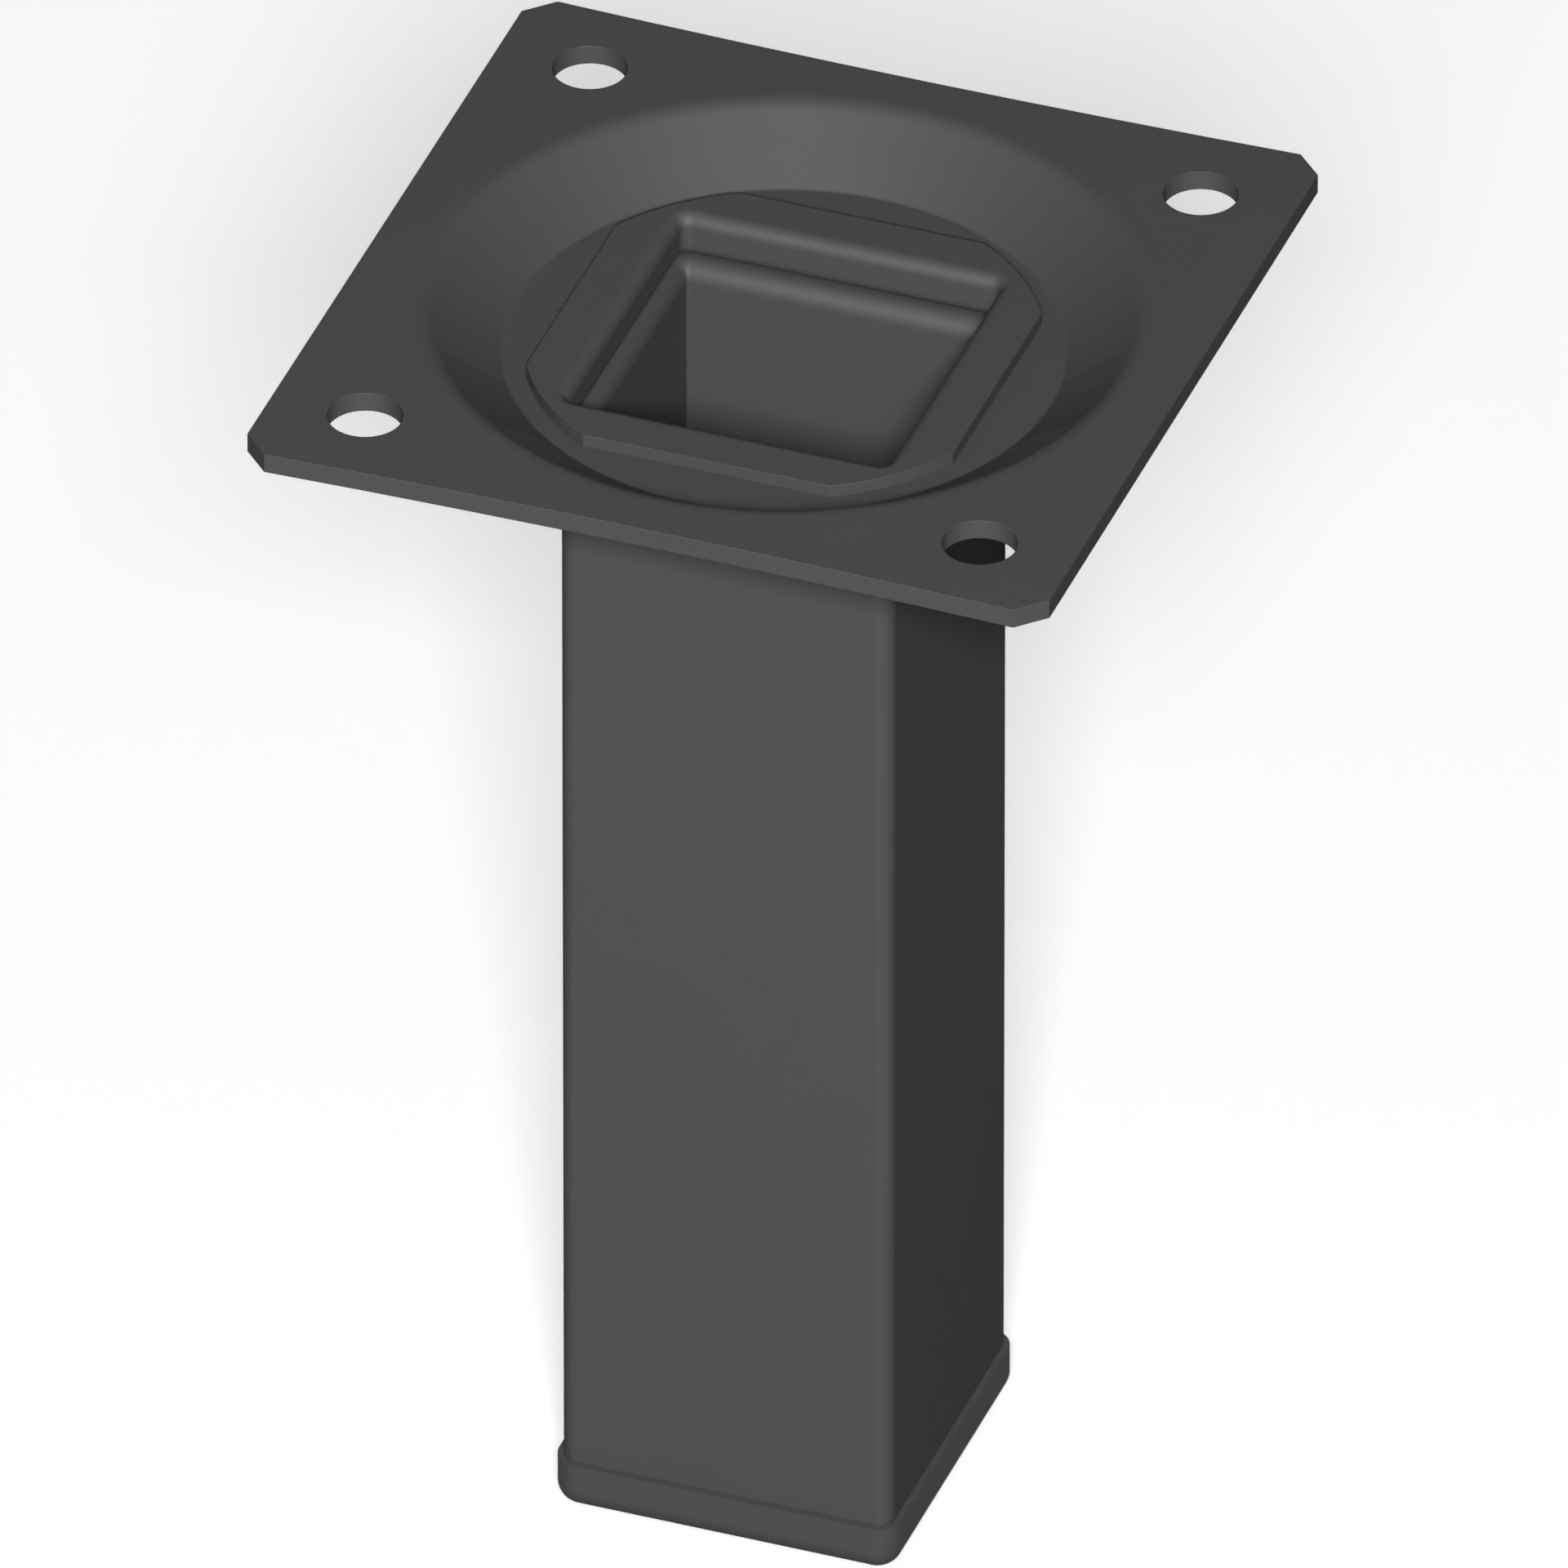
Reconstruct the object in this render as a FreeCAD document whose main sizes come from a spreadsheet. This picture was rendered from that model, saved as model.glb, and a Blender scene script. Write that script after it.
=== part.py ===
import FreeCAD, Part
import math
import os

import Sketcher

# Square table leg: a pressed screw plate, a square tube crimped into it and a plastic foot cap.
# Millimetres, +Z up, origin on the floor under the middle of the leg.
# All pieces are centred on the Z axis, and the plate's drawn-in sides face +Y and -Y.

# Driving dimensions
SIZES = [
    ("leg_height", 98.8, "floor to the plate's top face"),
    ("plate_side", 60.0, "side of the screw plate"),
    ("plate_thickness", 1.5, "sheet of the screw plate"),
    ("plate_corner_cut", 2.0, "45 degree cut at each corner, along each side"),
    ("plate_draw_in", 0.49, "how far the pressing draws in the middle of two sides"),
    ("screw_spacing", 46.0, "screw hole to screw hole"),
    ("screw_hole", 5.4, "screw hole diameter"),
    ("dish_depth", 4.0, "top face to dish floor"),
    ("dish_clearance", 1.5, "tube's flange to the foot of the dish wall"),
    ("dish_run", 5.5, "how far out the dish wall runs from floor to rim"),
    ("dish_rim_radius", 2.1, "bend at the rim, measured on the top face"),
    ("dish_floor_radius", 0.4, "bend at the floor, measured on the top face"),
    ("tube_side", 25.0, "outside of the square tube"),
    ("tube_wall", 1.0, "wall of the tube"),
    ("bore_corner_radius", 0.2, "inside corner of the tube"),
    ("neck_swell", 0.5, "how far the tube is spread out where it fills the plate's hole"),
    ("flange_reach", 3.0, "neck to the straight edges of the flange"),
    ("flange_corner_reach", 0.8, "neck to the round corners of the flange"),
    ("bead_reach", 2.2, "neck to the outside of the folded bead"),
    ("bead_gap", 0.4, "gap left between the two layers of the fold"),
    ("bead_bend_radius", 0.4, "outside bend from the tube's wall into the bead"),
    ("cap_proud", 0.5, "how far the foot cap's head stands out past the tube"),
    ("cap_height", 4.0, "height of the foot cap's head"),
    ("cap_corner_radius", 1.9, "upright corners of the head"),
    ("cap_foot_radius", 1.75, "rounding of the head's lower edge"),
    ("cap_floor", 2.4, "plastic under the hollow of the plug"),
    ("plug_length", 13.0, "plug above the head"),
    ("plug_wall", 1.5, "wall of the hollow plug"),
    ("plug_corner_radius", 1.2, "upright corners of the plug, inside and out"),
    ("plug_lead_in", 0.6, "bevel round the top of the plug"),
    ("fin_reach", 0.8, "how far a gripping fin stands out from the plug"),
    ("fin_thickness", 0.8, "thickness of a gripping fin"),
    ("first_fin", 2.0, "head to the lowest fin"),
    ("last_fin", 1.8, "highest fin to the top of the plug"),
    ("fin_count", 4, "gripping fins"),
]

# Levels above the floor
DISH_FLOOR_LEVEL = "(Sizes.leg_height - Sizes.dish_depth)"
DISH_UNDERSIDE_LEVEL = f"({DISH_FLOOR_LEVEL} - Sizes.plate_thickness)"

# Half widths of the square sections, from the Z axis
TUBE = "(Sizes.tube_side / 2)"
BORE = f"({TUBE} - Sizes.tube_wall)"
NECK = f"({TUBE} + Sizes.neck_swell)"
FLANGE = f"({NECK} + Sizes.flange_reach)"
BEAD = f"({NECK} + Sizes.bead_reach)"
HEAD = f"({TUBE} + Sizes.cap_proud)"
PLUG = f"({BORE} - Sizes.fin_reach)"

# Corner radii that keep the tube's wall even all round
TUBE_CORNER = "(Sizes.bore_corner_radius + Sizes.tube_wall)"
NECK_CORNER = f"({TUBE_CORNER} + Sizes.neck_swell)"

# Radii of the flange's round corners and of the dish, from the Z axis
NECK_ACROSS_CORNERS = f"(({NECK} - {NECK_CORNER}) * sqrt(2) + {NECK_CORNER})"
FLANGE_ROUND = f"({NECK_ACROSS_CORNERS} + Sizes.flange_corner_reach)"
DISH_FLOOR = f"({FLANGE_ROUND} + Sizes.dish_clearance)"
DISH_RIM = f"({DISH_FLOOR} + Sizes.dish_run)"

# How much further out the dish's underside bends than its upper side, in sheet of even thickness
DISH_OFFSET = "Sizes.plate_thickness * tan(atan(Sizes.dish_depth / Sizes.dish_run) / 2)"

SHARP = None


def add_sizes(doc):
    """Put the driving dimensions into the sheet, one row each."""
    sheet = doc.addObject("Spreadsheet::Sheet", "Sizes")
    for row, (name, value, meaning) in enumerate(SIZES, start=1):
        sheet.set(f"A{row}", name)
        sheet.set(f"B{row}", str(value))
        sheet.set(f"C{row}", meaning)
        sheet.setAlias(f"B{row}", name)
    doc.recompute()
    return sheet


def size(body, expression):
    """Value of an expression over the sheet, in millimetres."""
    return float(body.Document.getObject("Sizes").evalExpression(expression))


def add_body(doc, name, level):
    """A piece of the leg, standing at a level above the floor."""
    body = doc.addObject("PartDesign::Body", name)
    body.Label = name
    body.setExpression("Placement.Base.z", level)
    return body


def origin_feature(body, role):
    """One of the body's own planes or axes."""
    return next(item for item in body.Origin.OriginFeatures if item.Role == role)


def add_sketch(body, name, plane="XY_Plane", offset=None):
    """A sketch on one of the body's planes, moved along the plane's normal if asked."""
    sketch = body.newObject("Sketcher::SketchObject", name)
    sketch.AttachmentSupport = [(origin_feature(body, plane), "")]
    sketch.MapMode = "FlatFace"
    if offset:
        sketch.setExpression("AttachmentOffset.Base.z", offset)
    return sketch


def constrain(sketch, kind, *where, expression=None):
    """Add a constraint, bound to an expression if one is given."""
    if expression is None:
        sketch.addConstraint(Sketcher.Constraint(kind, *where))
        return
    value = size(sketch, expression)
    index = sketch.addConstraint(Sketcher.Constraint(kind, *where, value))
    sketch.setExpression(f"Constraints[{index}]", expression)


def place_point(sketch, edge, end, across, up):
    """Tie one end of an edge to the sketch's origin in both directions."""
    constrain(sketch, "DistanceX", -1, 1, edge, end, expression=across)
    constrain(sketch, "DistanceY", -1, 1, edge, end, expression=up)


def line(sketch, start, end):
    return sketch.addGeometry(Part.LineSegment(start, end))


def draw_steps(sketch, steps):
    """Closed outline of upright and level straights in turn, beginning with an upright one.

    Each step is the straight's place, as its distance from the sketch's origin, and the
    radius of the bend that ends it, or SHARP.
    """
    count = len(steps)
    places = [size(sketch, place) for place, bend in steps]
    bends = [bend for place, bend in steps]
    corners = []
    for index in range(count):
        pair = (places[index], places[(index + 1) % count])
        across, up = pair if index % 2 == 0 else pair[::-1]
        corners.append(FreeCAD.Vector(across, up, 0))

    starts = [None] * count
    ends = [None] * count
    for index, corner in enumerate(corners):
        following = (index + 1) % count
        radius = size(sketch, bends[index]) if bends[index] else 0.0
        back = (corners[index - 1] - corner).normalize() * radius
        onward = (corners[following] - corner).normalize() * radius
        ends[index] = corner + back
        starts[following] = corner + onward

    straights = [line(sketch, start, end) for start, end in zip(starts, ends)]
    for index, straight in enumerate(straights):
        following = (index + 1) % count
        upright = index % 2 == 0
        constrain(sketch, "Vertical" if upright else "Horizontal", straight)
        distance = "DistanceX" if upright else "DistanceY"
        constrain(sketch, distance, -1, 1, straight, 1, expression=steps[index][0])
        if bends[index]:
            join_bend(sketch, straight, straights[following], corners[index], bends[index])
        else:
            constrain(sketch, "Coincident", straight, 2, straights[following], 1)


def join_bend(sketch, before, after, corner, bend):
    """Quarter bend between two straights that would meet at a corner."""
    start = sketch.getPoint(before, 2)
    end = sketch.getPoint(after, 1)
    centre = start + end - corner
    middle = centre + (corner - centre).normalize() * (start - centre).Length
    arc = sketch.addGeometry(Part.Arc(start, middle, end))
    begins_at_start = sketch.getPoint(arc, 1).isEqual(start, 1e-6)
    first, last = (1, 2) if begins_at_start else (2, 1)
    constrain(sketch, "Tangent", before, 2, arc, first)
    constrain(sketch, "Tangent", after, 1, arc, last)
    constrain(sketch, "Radius", arc, expression=bend)


def draw_square(sketch, half, bend=SHARP):
    """Square centred on the sketch's origin."""
    opposite = f"-({half})"
    draw_steps(sketch, [(half, bend), (half, bend), (opposite, bend), (opposite, bend)])


def draw_corners(sketch, corners):
    """Closed outline of straight sides through corners given as pairs of expressions."""
    points = [FreeCAD.Vector(size(sketch, x), size(sketch, y), 0) for x, y in corners]
    sides = [line(sketch, start, end) for start, end in zip(points, points[1:] + points[:1])]
    for index, side in enumerate(sides):
        constrain(sketch, "Coincident", side, 2, sides[(index + 1) % len(sides)], 1)
        place_point(sketch, side, 1, *corners[index])


def pad(body, sketch, name, length, reverse=False):
    feature = body.newObject("PartDesign::Pad", name)
    feature.Profile = sketch
    feature.Reversed = reverse
    feature.setExpression("Length", length)
    return finished(feature)


def pocket(body, sketch, name, depth=None):
    """Cut a sketch downwards, right through where no depth is given."""
    feature = body.newObject("PartDesign::Pocket", name)
    feature.Profile = sketch
    if depth:
        feature.setExpression("Length", depth)
    else:
        feature.Type = "ThroughAll"
    return cuts(feature)


def turn(body, sketch, name, kind):
    """Revolve a sketch on the XZ plane a full turn about the Z axis."""
    feature = body.newObject(f"PartDesign::{kind}", name)
    feature.Profile = sketch
    feature.ReferenceAxis = (sketch, ["V_Axis"])
    feature.Angle = 360
    return finished(feature) if kind == "Revolution" else cuts(feature)


def finished(feature):
    """Recompute a feature and stop if it gave no sound shape."""
    feature.Document.recompute()
    if feature.Shape.isNull() or not feature.Shape.isValid():
        raise RuntimeError(f"{feature.Name} has no valid shape")
    return feature


def cuts(feature):
    """Recompute a cut and stop if it took no material away."""
    before = feature.BaseFeature.Shape.Volume
    finished(feature)
    if feature.Shape.Volume >= before - 1e-6:
        raise RuntimeError(f"{feature.Name} cuts nothing")
    return feature


def round_edges(body, base, name, edges, radius):
    feature = body.newObject("PartDesign::Fillet", name)
    feature.Base = (base, edges)
    feature.setExpression("Radius", radius)
    return finished(feature)


def edges_where(feature, test):
    """Names of a feature's edges that pass a test."""
    edges = enumerate(feature.Shape.Edges, start=1)
    names = [f"Edge{number}" for number, edge in edges if test(edge)]
    if not names:
        raise RuntimeError(f"{feature.Name} has no such edge")
    return names


def circle_at(radius, level):
    """Test for a circle of a radius at a level."""
    def test(edge):
        curve = edge.Curve
        if not isinstance(curve, Part.Circle):
            return False
        return abs(curve.Radius - radius) < 1e-4 and abs(curve.Center.z - level) < 1e-4
    return test


def loop_at(level, inside, outside):
    """Test for edges that lie in a level plane with their middles in a square ring."""
    def test(edge):
        flat = all(abs(vertex.Z - level) < 1e-4 for vertex in edge.Vertexes)
        middle = edge.valueAt((edge.FirstParameter + edge.LastParameter) / 2)
        reach = max(abs(middle.x), abs(middle.y))
        return flat and abs(middle.z - level) < 1e-4 and inside < reach < outside
    return test


# Screw plate. Its own origin is in the middle of its top face.

def draw_plate_outline(sketch):
    """Square with cut corners, whose sides towards +Y and -Y are shallow hollow arcs."""
    half = "Sizes.plate_side / 2"
    inset = "(Sizes.plate_side / 2 - Sizes.plate_corner_cut)"
    arc_radius = f"(({inset}) ^ 2 + Sizes.plate_draw_in ^ 2) / (2 * Sizes.plate_draw_in)"
    corners = [
        (half, f"-{inset}"),
        (half, inset),
        (inset, half),
        (f"-{inset}", half),
        (f"-({half})", inset),
        (f"-({half})", f"-{inset}"),
        (f"-{inset}", f"-({half})"),
        (inset, f"-({half})"),
    ]
    points = [FreeCAD.Vector(size(sketch, x), size(sketch, y), 0) for x, y in corners]
    drawn_in = size(sketch, "Sizes.plate_side / 2 - Sizes.plate_draw_in")
    sides = []
    for index, (start, end) in enumerate(zip(points, points[1:] + points[:1])):
        if index in (2, 6):
            middle = FreeCAD.Vector(0, math.copysign(drawn_in, start.y), 0)
            sides.append(sketch.addGeometry(Part.Arc(start, middle, end)))
        else:
            sides.append(line(sketch, start, end))
    for index, side in enumerate(sides):
        following = sides[(index + 1) % len(sides)]
        meeting = points[(index + 1) % len(points)]
        here = end_at(sketch, side, meeting)
        there = end_at(sketch, following, meeting)
        constrain(sketch, "Coincident", side, here, following, there)
        place_point(sketch, following, there, *corners[(index + 1) % len(corners)])
        if index in (2, 6):
            constrain(sketch, "Radius", side, expression=arc_radius)


def end_at(sketch, edge, point):
    """Which end of an edge lies at a point."""
    return 1 if sketch.getPoint(edge, 1).isEqual(point, 1e-6) else 2


def press_dish(body):
    """Dish of even thickness: its underside is turned on, then its hollow is turned out."""
    underside = add_sketch(body, "dish_underside_section", "XZ_Plane")
    draw_corners(underside, [
        ("0", "-Sizes.plate_thickness"),
        (f"{DISH_RIM} + {DISH_OFFSET}", "-Sizes.plate_thickness"),
        (f"{DISH_FLOOR} + {DISH_OFFSET}", "-Sizes.dish_depth - Sizes.plate_thickness"),
        ("0", "-Sizes.dish_depth - Sizes.plate_thickness"),
    ])
    turn(body, underside, "dish_underside", "Revolution")
    hollow = add_sketch(body, "dish_hollow_section", "XZ_Plane")
    draw_corners(hollow, [
        ("0", "0"),
        (DISH_RIM, "0"),
        (DISH_FLOOR, "-Sizes.dish_depth"),
        ("0", "-Sizes.dish_depth"),
    ])
    return turn(body, hollow, "dish_hollow", "Groove")


def round_dish(body, dish):
    """Bends of the pressed sheet, each with its inside and outside radius a thickness apart."""
    rim = size(body, DISH_RIM)
    floor = size(body, DISH_FLOOR)
    offset = size(body, DISH_OFFSET)
    depth = size(body, "Sizes.dish_depth")
    thickness = size(body, "Sizes.plate_thickness")
    rim_inside = "Sizes.dish_rim_radius - Sizes.plate_thickness"
    floor_outside = "Sizes.dish_floor_radius + Sizes.plate_thickness"
    bends = [
        ("rim_bend_above", rim, 0.0, "Sizes.dish_rim_radius"),
        ("rim_bend_below", rim + offset, -thickness, rim_inside),
        ("floor_bend_above", floor, -depth, "Sizes.dish_floor_radius"),
        ("floor_bend_below", floor + offset, -depth - thickness, floor_outside),
    ]
    for name, radius, level, bend in bends:
        edges = edges_where(dish, circle_at(radius, level))
        dish = round_edges(body, dish, name, edges, bend)
    return dish


def drill_screw_holes(body):
    """One hole on the diagonal, repeated four times about the axis."""
    sketch = add_sketch(body, "screw_hole_outline")
    radius = size(body, "Sizes.screw_hole / 2")
    offset = size(body, "Sizes.screw_spacing / 2")
    centre = FreeCAD.Vector(offset, offset, 0)
    circle = sketch.addGeometry(Part.Circle(centre, FreeCAD.Vector(0, 0, 1), radius))
    place_point(sketch, circle, 3, "Sizes.screw_spacing / 2", "Sizes.screw_spacing / 2")
    constrain(sketch, "Diameter", circle, expression="Sizes.screw_hole")
    hole = pocket(body, sketch, "screw_hole")
    pattern = body.newObject("PartDesign::PolarPattern", "screw_holes")
    pattern.Originals = [hole]
    pattern.Axis = (origin_feature(body, "Z_Axis"), [""])
    pattern.Angle = 360
    pattern.Occurrences = 4
    body.Tip = pattern
    return finished(pattern)


def build_mounting_plate(doc):
    body = add_body(doc, "mounting_plate", "Sizes.leg_height")
    outline = add_sketch(body, "plate_outline")
    draw_plate_outline(outline)
    pad(body, outline, "plate_blank", "Sizes.plate_thickness", reverse=True)
    dish = press_dish(body)
    round_dish(body, dish)
    opening = add_sketch(body, "tube_opening_outline")
    draw_square(opening, NECK, NECK_CORNER)
    pocket(body, opening, "tube_opening")
    drill_screw_holes(body)
    return body


# Tube. Its own origin is in the middle of its lower end, on the foot cap's head.

def draw_wall_section(sketch):
    """The tube's wall as one bent strip, drawn from the lower end up the outside and back down.

    Going up, the strip bends out and folds back over itself as a flat bead, goes up through
    the plate's hole as a neck and bends out again as a flange on the dish floor.
    """
    seat = f"({DISH_UNDERSIDE_LEVEL} - Sizes.cap_height)"
    floor = f"({DISH_FLOOR_LEVEL} - Sizes.cap_height)"
    wall = "Sizes.tube_wall"
    lower_layer = f"({seat} - {wall} - Sizes.bead_gap)"
    draw_steps(sketch, [
        (TUBE, "Sizes.bead_bend_radius"),
        (f"{lower_layer} - {wall}", wall),
        (BEAD, wall),
        (seat, SHARP),
        (NECK, SHARP),
        (floor, SHARP),
        (FLANGE, SHARP),
        (f"{floor} + {wall}", wall),
        (f"{NECK} - {wall}", wall),
        (f"{seat} - {wall}", SHARP),
        (f"{BEAD} - {wall}", SHARP),
        (lower_layer, f"{wall} + Sizes.bead_bend_radius"),
        (BORE, SHARP),
        ("0", SHARP),
    ])


def trim_flange(body):
    """Turn the flange's corners down to their round."""
    floor = f"({DISH_FLOOR_LEVEL} - Sizes.cap_height)"
    sketch = add_sketch(body, "flange_trim_section", "XZ_Plane")
    draw_steps(sketch, [
        (f"{FLANGE} * sqrt(2)", SHARP),
        (f"{floor} + Sizes.tube_wall", SHARP),
        (FLANGE_ROUND, SHARP),
        (floor, SHARP),
    ])
    return turn(body, sketch, "flange_trim", "Groove")


def build_leg_tube(doc):
    body = add_body(doc, "leg_tube", "Sizes.cap_height")
    section = add_sketch(body, "wall_section", "XZ_Plane")
    draw_wall_section(section)
    path = add_sketch(body, "bore_outline")
    draw_square(path, BORE, "Sizes.bore_corner_radius")
    wall = body.newObject("PartDesign::AdditivePipe", "tube_wall")
    wall.Profile = section
    wall.Spine = path
    finished(wall)
    trim_flange(body)
    return body


# Foot cap. Its own origin is in the middle of its underside, on the floor.

def add_fins(body):
    """Thin square collars round the plug that grip the tube's inside."""
    outline = add_sketch(body, "fin_outline", offset="Sizes.cap_height + Sizes.first_fin")
    draw_square(outline, BORE, "Sizes.bore_corner_radius")
    fin = pad(body, outline, "fin", "Sizes.fin_thickness")
    rise = "(Sizes.plug_length - Sizes.first_fin - Sizes.last_fin - Sizes.fin_thickness)"
    pattern = body.newObject("PartDesign::LinearPattern", "fins")
    pattern.Originals = [fin]
    pattern.Direction = (origin_feature(body, "Z_Axis"), [""])
    pattern.Mode = "Extent"
    pattern.setExpression("Length", rise)
    pattern.setExpression("Occurrences", "Sizes.fin_count")
    body.Tip = pattern
    return finished(pattern)


def hollow_plug(body):
    """Square hollow from the plug's open top down to the cap's floor."""
    outline = add_sketch(body, "hollow_outline", offset="Sizes.cap_height + Sizes.plug_length")
    draw_square(outline, f"{PLUG} - Sizes.plug_wall", "Sizes.plug_corner_radius")
    depth = "Sizes.plug_length + Sizes.cap_height - Sizes.cap_floor"
    return pocket(body, outline, "hollow", depth)


def round_cap(body, cap):
    """Bevel the plug's lead-in and round the head's lower edge."""
    head = size(body, HEAD)
    plug = size(body, PLUG)
    top = size(body, "Sizes.cap_height + Sizes.plug_length")
    lead_in = body.newObject("PartDesign::Chamfer", "lead_in")
    inside = plug - size(body, "Sizes.plug_wall / 2")
    lead_in.Base = (cap, edges_where(cap, loop_at(top, inside, plug + 1)))
    lead_in.setExpression("Size", "Sizes.plug_lead_in")
    finished(lead_in)
    lower = edges_where(lead_in, loop_at(0.0, plug, head + 1))
    return round_edges(body, lead_in, "head_foot", lower, "Sizes.cap_foot_radius")


def build_foot_cap(doc):
    body = add_body(doc, "foot_cap", "0")
    outline = add_sketch(body, "head_outline")
    draw_square(outline, HEAD, "Sizes.cap_corner_radius")
    pad(body, outline, "head", "Sizes.cap_height")
    plug_outline = add_sketch(body, "plug_outline", offset="Sizes.cap_height")
    draw_square(plug_outline, PLUG, "Sizes.plug_corner_radius")
    pad(body, plug_outline, "plug", "Sizes.plug_length")
    add_fins(body)
    round_cap(body, hollow_plug(body))
    return body


def check(doc, bodies):
    """Stop before anything is written if an object failed or a piece isn't sound."""
    for item in doc.Objects:
        if "Invalid" in item.State or "Error" in item.State:
            raise RuntimeError(f"{item.Name} failed: {item.State}")
    for body in bodies:
        shape = body.Shape
        if shape.isNull() or not shape.isValid() or len(shape.Solids) != 1:
            raise RuntimeError(f"{body.Label} isn't one sound solid")


def main():
    doc = FreeCAD.newDocument("table_leg")
    add_sizes(doc)
    bodies = [build_mounting_plate(doc), build_leg_tube(doc), build_foot_cap(doc)]
    doc.recompute()
    check(doc, bodies)
    os.makedirs("parts", exist_ok=True)
    for body in bodies:
        body.Shape.exportStep(os.path.join("parts", f"{body.Label}.step"))
        box = body.Shape.BoundBox
        print(f"{body.Label}: {body.Shape.Volume:.1f} mm3, z {box.ZMin:.2f} to {box.ZMax:.2f}")


main()
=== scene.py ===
import math

import bpy
from bpy.props import FloatProperty, FloatVectorProperty, PointerProperty
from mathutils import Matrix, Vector

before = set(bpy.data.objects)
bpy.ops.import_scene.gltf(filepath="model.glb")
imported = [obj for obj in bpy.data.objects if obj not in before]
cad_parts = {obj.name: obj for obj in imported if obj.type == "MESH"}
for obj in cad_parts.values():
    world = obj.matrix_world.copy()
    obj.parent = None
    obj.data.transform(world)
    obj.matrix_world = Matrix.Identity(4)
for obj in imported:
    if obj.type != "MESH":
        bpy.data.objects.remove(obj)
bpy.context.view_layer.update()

bl_info = {
    "name": "Square table leg",
    "version": (1, 0, 0),
    "blender": (4, 5, 0),
    "location": "3D View > Sidebar > Table leg",
    "description": "Finishes a short square steel leg with its screw plate and foot cap",
    "category": "Object",
}

MILLIMETRE = 0.001

# The whole photograph covers this width at the leg, seen by a parallel projection
PHOTO_WIDTH = 111.14 * MILLIMETRE
SENSOR_WIDTH = 36.0
CAMERA_REACH = 100.0

# Lamps and floor, in metres. The floor's gap below the foot is too thin to show.
LAMP_DISTANCE = 1.4
FRONT_LAMP_SIDES = (0.2, 0.2)
BACK_LAMP_SIDES = (1.2, 0.1)
FLOOR_HALF = 6.0
FLOOR_GAP = 0.02 * MILLIMETRE

# Faint patches of lighter and darker colour, as a share of it, and how far apart they are
COAT_MOTTLE = 0.03
COAT_MOTTLE_SPACING = 9 * MILLIMETRE
PLASTIC_MOTTLE = 0.02
PLASTIC_MOTTLE_SPACING = 6 * MILLIMETRE

# How far the coat's roughness varies from grain to grain, and the grain's share of the depth
COAT_GLOSS_SPREAD = 0.04
GRAIN_DEPTH_SHARE = 0.2


def linear(hex_colour):
    """sRGB hex colour as linear red, green and blue."""
    channels = [int(hex_colour[start:start + 2], 16) / 255 for start in (1, 3, 5)]
    return tuple(c / 12.92 if c <= 0.04045 else ((c + 0.055) / 1.055) ** 2.4 for c in channels)


def opaque(colour):
    """Three channels as the four that a colour socket holds."""
    return (*colour, 1.0)


def shaded(colour, share):
    """A colour made lighter or darker by a share of itself."""
    return opaque([channel * (1 + share) for channel in colour])


def add_node(tree, kind, inputs=None, **settings):
    """Add a node with its settings, and its inputs as values or as links from other nodes."""
    node = tree.nodes.new(kind)
    for name, value in settings.items():
        setattr(node, name, value)
    for name, value in (inputs or {}).items():
        if isinstance(value, bpy.types.NodeSocket):
            tree.links.new(value, node.inputs[name])
        else:
            node.inputs[name].default_value = value
    return node


def new_material(name):
    """An empty node material and its tree."""
    material = bpy.data.materials.new(name)
    material.use_nodes = True
    material.node_tree.nodes.clear()
    return material, material.node_tree


def direction(azimuth, elevation):
    """Unit vector from the leg towards a place round it, azimuth 0 being in front."""
    level = math.cos(elevation)
    return Vector((math.sin(azimuth) * level, -math.cos(azimuth) * level, math.sin(elevation)))


# Finishes

class PowderCoatSettings(bpy.types.PropertyGroup):
    """Powder coat on the screw plate and the tube."""
    colour: FloatVectorProperty(
        name="Colour", description="Colour of the powder coat",
        subtype="COLOR", size=3, min=0.0, max=1.0, default=linear("#515151"))
    flake: FloatProperty(
        name="Flake", description="Share of fine metal flake in the coat, which gives its sheen",
        subtype="FACTOR", min=0.0, max=1.0, default=0.08)
    flop: FloatVectorProperty(
        name="Flop", description="Colour of the flake's sheen where it is seen at a steep angle",
        subtype="COLOR", size=3, min=0.0, max=1.0, default=linear("#707070"))
    roughness: FloatProperty(
        name="Roughness", description="From gloss at 0 to dead matt at 1",
        subtype="FACTOR", min=0.0, max=1.0, default=0.66)
    peel_spacing: FloatProperty(
        name="Orange peel spacing", description="Distance from wave to wave of the cured powder",
        unit="LENGTH", default=1.4 * MILLIMETRE)
    peel_depth: FloatProperty(
        name="Orange peel depth", description="Height of the waves of the cured powder",
        unit="LENGTH", default=0.012 * MILLIMETRE)
    grain_spacing: FloatProperty(
        name="Grain spacing", description="Distance from grain to grain of the powder",
        unit="LENGTH", default=0.28 * MILLIMETRE)
    edge_radius: FloatProperty(
        name="Edge build-up", description="How far the coat rounds over a sharp edge",
        unit="LENGTH", default=0.09 * MILLIMETRE)


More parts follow.
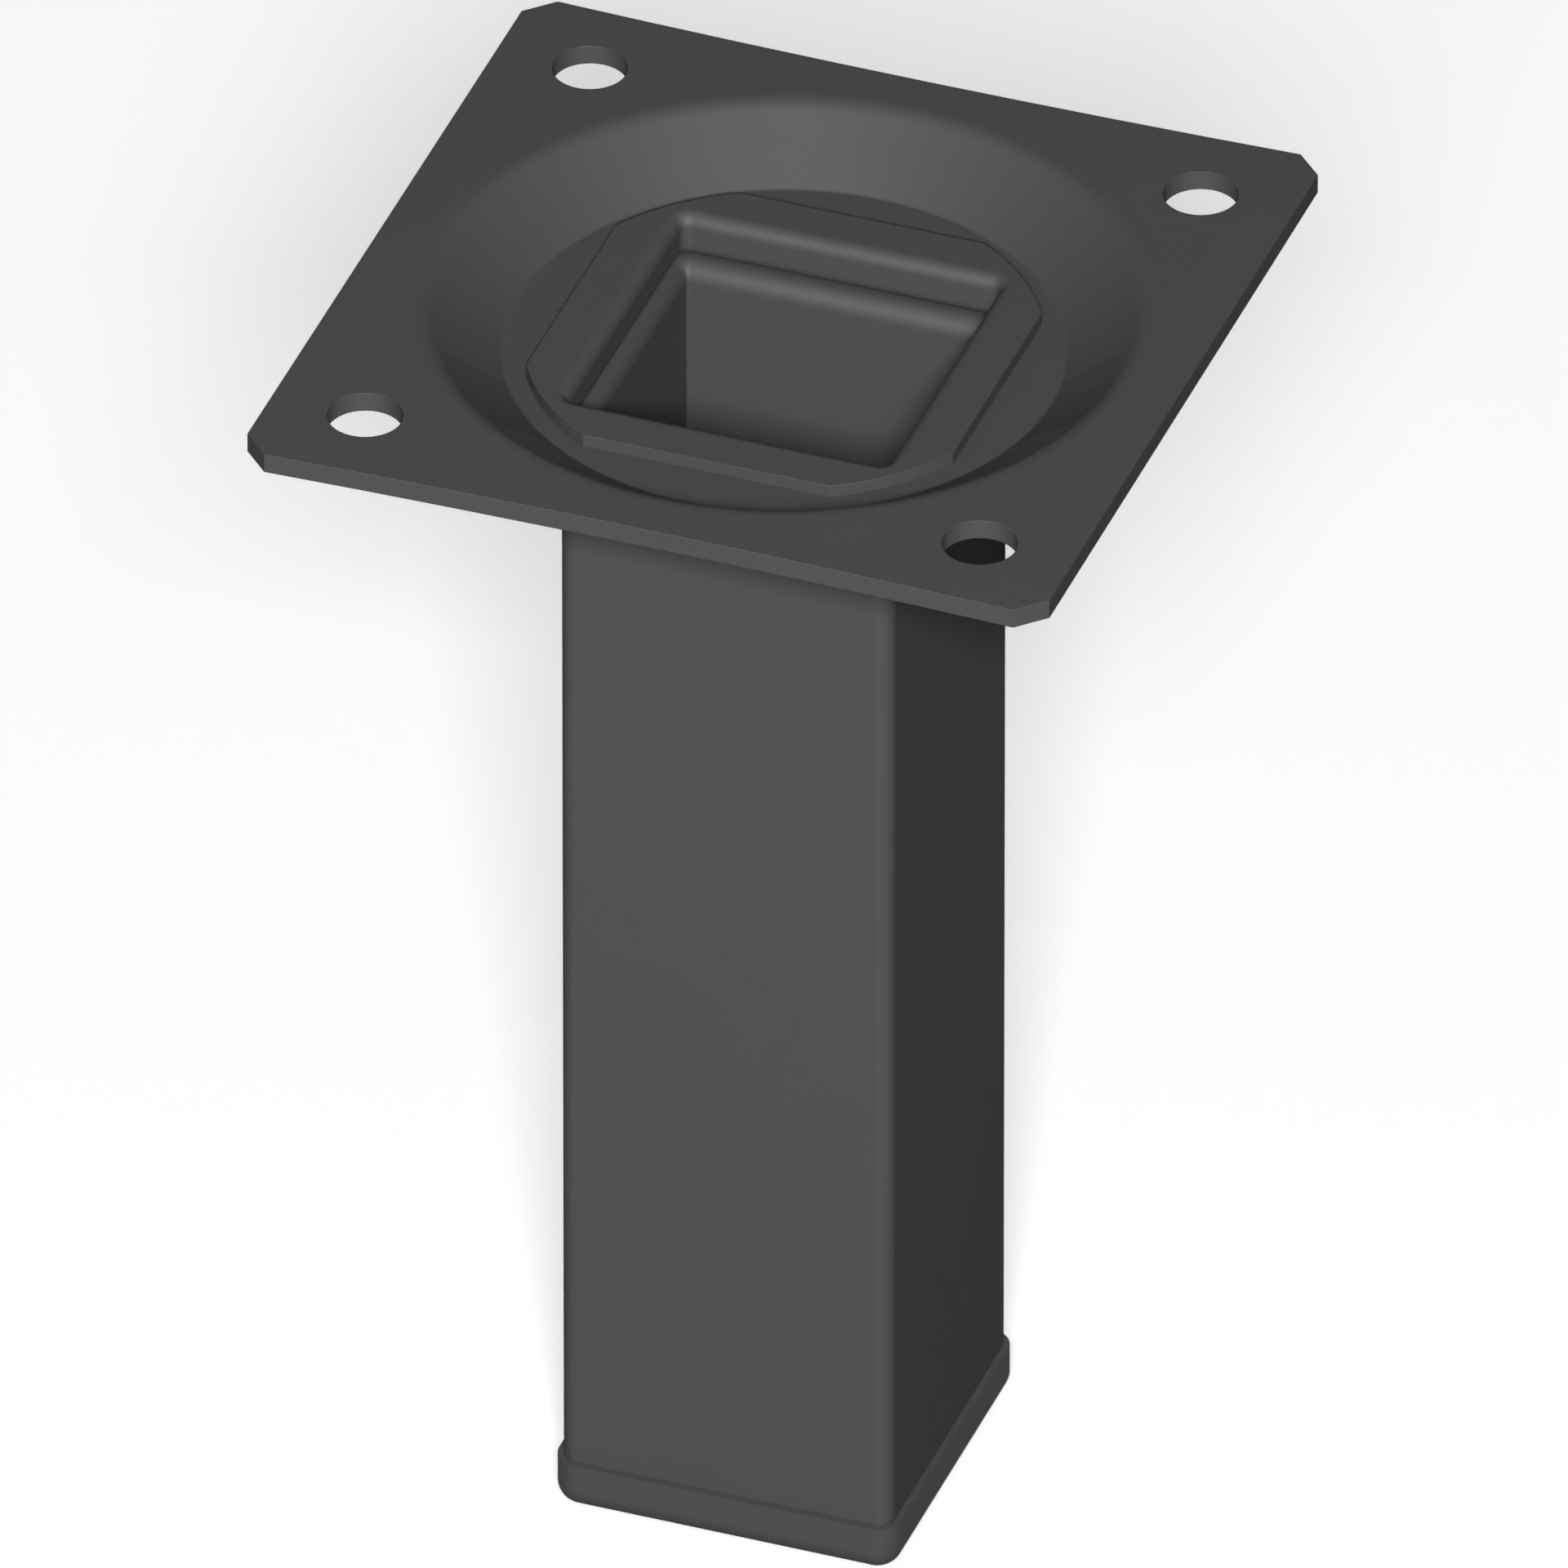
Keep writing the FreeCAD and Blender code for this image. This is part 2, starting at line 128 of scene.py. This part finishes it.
class MouldedPlasticSettings(bpy.types.PropertyGroup):
    """Moulded polypropylene of the foot cap."""
    colour: FloatVectorProperty(
        name="Colour", description="Colour of the plastic",
        subtype="COLOR", size=3, min=0.0, max=1.0, default=linear("#525252"))
    roughness: FloatProperty(
        name="Roughness", description="From gloss at 0 to dead matt at 1",
        subtype="FACTOR", min=0.0, max=1.0, default=0.74)
    specular: FloatProperty(
        name="Specular level", description="Strength of the plastic's sheen",
        subtype="FACTOR", min=0.0, max=1.0, default=0.04)
    texture_spacing: FloatProperty(
        name="Texture spacing", description="Distance from pit to pit of the spark-eroded mould",
        unit="LENGTH", default=0.4 * MILLIMETRE)
    texture_depth: FloatProperty(
        name="Texture depth", description="Depth of the pits of the spark-eroded mould",
        unit="LENGTH", default=0.01 * MILLIMETRE)


def make_powder_coat(coat):
    """Satin polyester powder coat with a little fine metal flake, sprayed on the formed steel.

    It gives the eye an even dark grey, with a soft broad sheen where a face points between
    the eye and the lamp, which the flake turns darker at a steep angle. Close up, the sheen
    breaks up in the shallow waves of the cured powder, and the coat rounds each sharp edge.
    The powder's real grain, about 0.05 mm, is too fine to show, so it is drawn coarser.
    """
    material, tree = new_material("powder_coat_satin_grey")
    place = add_node(tree, "ShaderNodeTexCoord").outputs["Object"]
    mottle = add_node(tree, "ShaderNodeTexNoise", {
        "Vector": place, "Scale": 1 / COAT_MOTTLE_SPACING, "Detail": 3.0, "Roughness": 0.55})
    shade = add_node(tree, "ShaderNodeValToRGB", {"Fac": mottle.outputs["Fac"]})
    shade.color_ramp.elements[0].color = shaded(coat.colour, -COAT_MOTTLE)
    shade.color_ramp.elements[1].color = shaded(coat.colour, COAT_MOTTLE)
    peel = add_node(tree, "ShaderNodeTexNoise", {
        "Vector": place, "Scale": 1 / coat.peel_spacing, "Detail": 1.0, "Roughness": 0.4})
    grain = add_node(tree, "ShaderNodeTexNoise", {
        "Vector": place, "Scale": 1 / coat.grain_spacing, "Detail": 1.5, "Roughness": 0.5})
    rounded = add_node(tree, "ShaderNodeBevel", {"Radius": coat.edge_radius}, samples=8)
    waves = add_node(tree, "ShaderNodeBump", {
        "Height": peel.outputs["Fac"], "Distance": coat.peel_depth,
        "Normal": rounded.outputs["Normal"]})
    grit = add_node(tree, "ShaderNodeBump", {
        "Height": grain.outputs["Fac"], "Distance": coat.peel_depth * GRAIN_DEPTH_SHARE,
        "Normal": waves.outputs["Normal"]})
    gloss = add_node(tree, "ShaderNodeMapRange", {
        "Value": grain.outputs["Fac"], "From Min": 0.3, "From Max": 0.7,
        "To Min": coat.roughness - COAT_GLOSS_SPREAD,
        "To Max": coat.roughness + COAT_GLOSS_SPREAD})

    # No gloss but the flake's, so the clear part of the coat has a specular level of 0
    surface = add_node(tree, "ShaderNodeBsdfPrincipled", {
        "Base Color": shade.outputs["Color"], "Roughness": gloss.outputs["Result"],
        "Metallic": coat.flake, "Specular Tint": opaque(coat.flop),
        "Specular IOR Level": 0.0, "IOR": 1.5,
        "Normal": grit.outputs["Normal"]})
    add_node(tree, "ShaderNodeOutputMaterial", {"Surface": surface.outputs["BSDF"]})
    return material


def make_moulded_plastic(plastic):
    """Dark grey polypropylene, injection moulded in a spark-eroded mould.

    It gives the eye a dull grey close to the coat's, with a fine even pitting. The real pits,
    about 0.1 mm apart, are too fine to show, so they are drawn coarser.
    """
    material, tree = new_material("moulded_polypropylene_grey")
    place = add_node(tree, "ShaderNodeTexCoord").outputs["Object"]
    flow = add_node(tree, "ShaderNodeTexNoise", {
        "Vector": place, "Scale": 1 / PLASTIC_MOTTLE_SPACING, "Detail": 2.0, "Roughness": 0.5})
    shade = add_node(tree, "ShaderNodeValToRGB", {"Fac": flow.outputs["Fac"]})
    shade.color_ramp.elements[0].color = shaded(plastic.colour, -PLASTIC_MOTTLE)
    shade.color_ramp.elements[1].color = shaded(plastic.colour, PLASTIC_MOTTLE)
    pits = add_node(tree, "ShaderNodeTexNoise", {
        "Vector": place, "Scale": 1 / plastic.texture_spacing, "Detail": 2.0, "Roughness": 0.6})
    pitting = add_node(tree, "ShaderNodeBump", {
        "Height": pits.outputs["Fac"], "Distance": plastic.texture_depth})
    surface = add_node(tree, "ShaderNodeBsdfPrincipled", {
        "Base Color": shade.outputs["Color"], "Roughness": plastic.roughness,
        "Specular IOR Level": plastic.specular, "IOR": 1.49, "Metallic": 0.0,
        "Normal": pitting.outputs["Normal"]})
    add_node(tree, "ShaderNodeOutputMaterial", {"Surface": surface.outputs["BSDF"]})
    return material


def finish_piece(name, material):
    """Put a finish on one of the leg's pieces."""
    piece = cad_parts[name]
    for place in piece.material_slots:
        place.material = material


def powder_coat(context):
    """The one powder coat that the plate and the tube share."""
    found = bpy.data.materials.get("powder_coat_satin_grey")
    return found or make_powder_coat(context.scene.leg_powder_coat)


class LEG_OT_screw_plate(bpy.types.Operator):
    """Finish the pressed screw plate in powder coat"""
    bl_idname = "table_leg.screw_plate"
    bl_label = "Screw plate"

    def execute(self, context):
        finish_piece("mounting_plate", powder_coat(context))
        return {"FINISHED"}


class LEG_OT_square_tube(bpy.types.Operator):
    """Finish the crimped square tube in powder coat"""
    bl_idname = "table_leg.square_tube"
    bl_label = "Square tube"

    def execute(self, context):
        finish_piece("leg_tube", powder_coat(context))
        return {"FINISHED"}


class LEG_OT_foot_cap(bpy.types.Operator):
    """Finish the foot cap in moulded plastic"""
    bl_idname = "table_leg.foot_cap"
    bl_label = "Foot cap"

    def execute(self, context):
        finish_piece("foot_cap", make_moulded_plastic(context.scene.leg_moulded_plastic))
        return {"FINISHED"}


# Stage

class StageSettings(bpy.types.PropertyGroup):
    """Floor, lamps and camera round the leg."""
    camera_azimuth: FloatProperty(
        name="Camera azimuth", description="Turn of the camera round the leg, 0 being in front",
        subtype="ANGLE", default=math.radians(19.989))
    camera_elevation: FloatProperty(
        name="Camera elevation", description="Height of the camera above the horizon",
        subtype="ANGLE", default=math.radians(35.034))
    camera_lens: FloatProperty(
        name="Lens", description="Focal length in millimetres, long for a nearly parallel view",
        default=1650.0)
    aim_height: FloatProperty(
        name="Aim height", description="Height on the leg's axis in the middle of the picture",
        unit="LENGTH", default=57.44 * MILLIMETRE)
    key_azimuth: FloatProperty(
        name="Key lamp azimuth", description="Turn of the key lamp round the leg",
        subtype="ANGLE", default=math.radians(20))
    key_elevation: FloatProperty(
        name="Key lamp elevation", description="Height of the key lamp above the horizon",
        subtype="ANGLE", default=math.radians(35))
    key_power: FloatProperty(
        name="Key lamp power", description="Power of the soft lamp in front",
        unit="POWER", default=18.0)
    sheen_power: FloatProperty(
        name="Sheen lamp power", description="Power of the lamp that shows only in the sheen",
        unit="POWER", default=222.0)
    back_azimuth: FloatProperty(
        name="Back lamp azimuth", description="Turn of the back lamp round the leg",
        subtype="ANGLE", default=math.radians(215))
    back_elevation: FloatProperty(
        name="Back lamp elevation", description="Height of the back lamp above the horizon",
        subtype="ANGLE", default=math.radians(0))
    back_power: FloatProperty(
        name="Back lamp power", description="Power of the soft lamp behind the leg",
        unit="POWER", default=16.0)
    room_light: FloatProperty(
        name="Room light", description="Strength of the even light from all round",
        min=0.0, default=0.07)
    floor_colour: FloatVectorProperty(
        name="Floor colour", description="Colour of the plain floor where it is seen",
        subtype="COLOR", size=3, min=0.0, max=1.0, default=linear("#e0e0e0"))
    floor_bounce: FloatVectorProperty(
        name="Floor bounce", description="Colour of the light that the floor throws on the leg",
        subtype="COLOR", size=3, min=0.0, max=1.0, default=linear("#7c7c7c"))
    floor_glow: FloatProperty(
        name="Floor glow", description="Light added to the floor where it is seen, towards white",
        min=0.0, max=1.0, default=0.55)


def seen_rays(tree):
    """1 for rays that show the background, directly, in a reflection or through glass."""
    rays = add_node(tree, "ShaderNodeLightPath").outputs
    straight_or_gloss = add_node(tree, "ShaderNodeMath", operation="MAXIMUM")
    tree.links.new(rays["Is Camera Ray"], straight_or_gloss.inputs[0])
    tree.links.new(rays["Is Glossy Ray"], straight_or_gloss.inputs[1])
    seen = add_node(tree, "ShaderNodeMath", operation="MAXIMUM")
    tree.links.new(straight_or_gloss.outputs[0], seen.inputs[0])
    tree.links.new(rays["Is Transmission Ray"], seen.inputs[1])
    return seen.outputs[0]


def make_floor(stage):
    """Plain matt floor, whose own colour keeps the leg's shadow and whose glow makes it white.

    From below it is clear, so that the leg's underside can be looked at.
    """
    material, tree = new_material("plain_matt_floor")
    seen = seen_rays(tree)
    colour = add_node(tree, "ShaderNodeMixRGB", {
        "Fac": seen, "Color1": opaque(stage.floor_bounce), "Color2": opaque(stage.floor_colour)})
    matt = add_node(tree, "ShaderNodeBsdfDiffuse", {"Color": colour.outputs["Color"]})
    shown = add_node(tree, "ShaderNodeMath", {0: seen, 1: stage.floor_glow}, operation="MULTIPLY")
    glow = add_node(tree, "ShaderNodeEmission", {"Strength": shown.outputs[0]})
    both = add_node(tree, "ShaderNodeAddShader", {0: matt.outputs[0], 1: glow.outputs[0]})
    clear = add_node(tree, "ShaderNodeBsdfTransparent")
    below = add_node(tree, "ShaderNodeNewGeometry").outputs["Backfacing"]
    surface = add_node(tree, "ShaderNodeMixShader", {
        0: below, 1: both.outputs[0], 2: clear.outputs[0]})
    add_node(tree, "ShaderNodeOutputMaterial", {"Surface": surface.outputs[0]})
    mesh = bpy.data.meshes.new("floor")
    corners = [(x * FLOOR_HALF, y * FLOOR_HALF, -FLOOR_GAP)
               for x, y in ((-1, -1), (1, -1), (1, 1), (-1, 1))]
    mesh.from_pydata(corners, [], [(0, 1, 2, 3)])
    floor = bpy.data.objects.new("floor", mesh)
    floor.data.materials.append(material)
    bpy.context.scene.collection.objects.link(floor)


def light_room(stage):
    """Even light from all round, and a white surround where it is seen."""
    world = bpy.data.worlds.new("white_room")
    world.use_nodes = True
    tree = world.node_tree
    tree.nodes.clear()
    strength = add_node(tree, "ShaderNodeMapRange", {
        "Value": seen_rays(tree), "To Min": stage.room_light, "To Max": 1.0})
    white = add_node(tree, "ShaderNodeBackground", {"Strength": strength.outputs["Result"]})
    white.inputs["Color"].default_value = opaque(linear("#ffffff"))
    add_node(tree, "ShaderNodeOutputWorld", {"Surface": white.outputs[0]})
    bpy.context.scene.world = world


def add_softbox(name, aim, azimuth, elevation, sides, power, sheen=True, shading=True):
    """Soft lamp that points at the leg, giving it sheen, shading or both."""
    lamp = bpy.data.lights.new(name, "AREA")
    lamp.shape = "RECTANGLE"
    lamp.size, lamp.size_y = sides
    lamp.energy = power
    holder = bpy.data.objects.new(name, lamp)
    towards = direction(azimuth, elevation)
    holder.location = aim + towards * LAMP_DISTANCE
    holder.rotation_euler = towards.to_track_quat("Z", "Y").to_euler()
    holder.visible_camera = False
    holder.visible_glossy = sheen
    holder.visible_diffuse = shading
    bpy.context.scene.collection.objects.link(holder)


def add_camera(stage, aim):
    """Long lens at the photograph's angle, whose frame is as wide at the leg as the photograph."""
    camera = bpy.data.cameras.new("camera")
    camera.sensor_width = SENSOR_WIDTH
    camera.lens = stage.camera_lens
    camera.clip_end = CAMERA_REACH
    holder = bpy.data.objects.new("camera", camera)
    back = direction(stage.camera_azimuth, stage.camera_elevation)
    holder.location = aim + back * (PHOTO_WIDTH * stage.camera_lens / SENSOR_WIDTH)
    holder.rotation_euler = back.to_track_quat("Z", "Y").to_euler()
    bpy.context.scene.collection.objects.link(holder)
    bpy.context.scene.camera = holder


class LEG_OT_stage(bpy.types.Operator):
    """Lay the floor, light the room and place the camera"""
    bl_idname = "table_leg.stage"
    bl_label = "Floor, lamps and camera"

    def execute(self, context):
        stage = context.scene.leg_stage
        aim = Vector((0.0, 0.0, stage.aim_height))
        context.scene.view_settings.view_transform = "Standard"
        make_floor(stage)
        light_room(stage)
        key = (stage.key_azimuth, stage.key_elevation)
        view = (stage.camera_azimuth, stage.camera_elevation)
        back = (stage.back_azimuth, stage.back_elevation)
        add_softbox("key_lamp", aim, *key, FRONT_LAMP_SIDES, stage.key_power)
        add_softbox(
            "sheen_lamp", aim, *view, FRONT_LAMP_SIDES, stage.sheen_power, shading=False)
        add_softbox("back_lamp", aim, *back, BACK_LAMP_SIDES, stage.back_power, sheen=False)
        add_camera(stage, aim)
        return {"FINISHED"}


class LEG_PT_panel(bpy.types.Panel):
    """The leg's pieces and stage in the sidebar"""
    bl_idname = "LEG_PT_panel"
    bl_label = "Square table leg"
    bl_space_type = "VIEW_3D"
    bl_region_type = "UI"
    bl_category = "Table leg"

    def draw(self, context):
        for step in STEPS:
            self.layout.operator(step.bl_idname)
        for group in SETTINGS:
            settings = getattr(context.scene, group)
            box = self.layout.box()
            for name in settings.__annotations__:
                box.prop(settings, name)


STEPS = (LEG_OT_screw_plate, LEG_OT_square_tube, LEG_OT_foot_cap, LEG_OT_stage)
SETTINGS = {
    "leg_powder_coat": PowderCoatSettings,
    "leg_moulded_plastic": MouldedPlasticSettings,
    "leg_stage": StageSettings,
}


def register():
    for kind in (*SETTINGS.values(), *STEPS, LEG_PT_panel):
        bpy.utils.register_class(kind)
    for name, kind in SETTINGS.items():
        setattr(bpy.types.Scene, name, PointerProperty(type=kind))


def unregister():
    for name in SETTINGS:
        delattr(bpy.types.Scene, name)
    for kind in reversed((*SETTINGS.values(), *STEPS, LEG_PT_panel)):
        bpy.utils.unregister_class(kind)


def main():
    register()
    bpy.ops.table_leg.screw_plate()
    bpy.ops.table_leg.square_tube()
    bpy.ops.table_leg.foot_cap()
    bpy.ops.table_leg.stage()


if __name__ == "__main__":
    main()
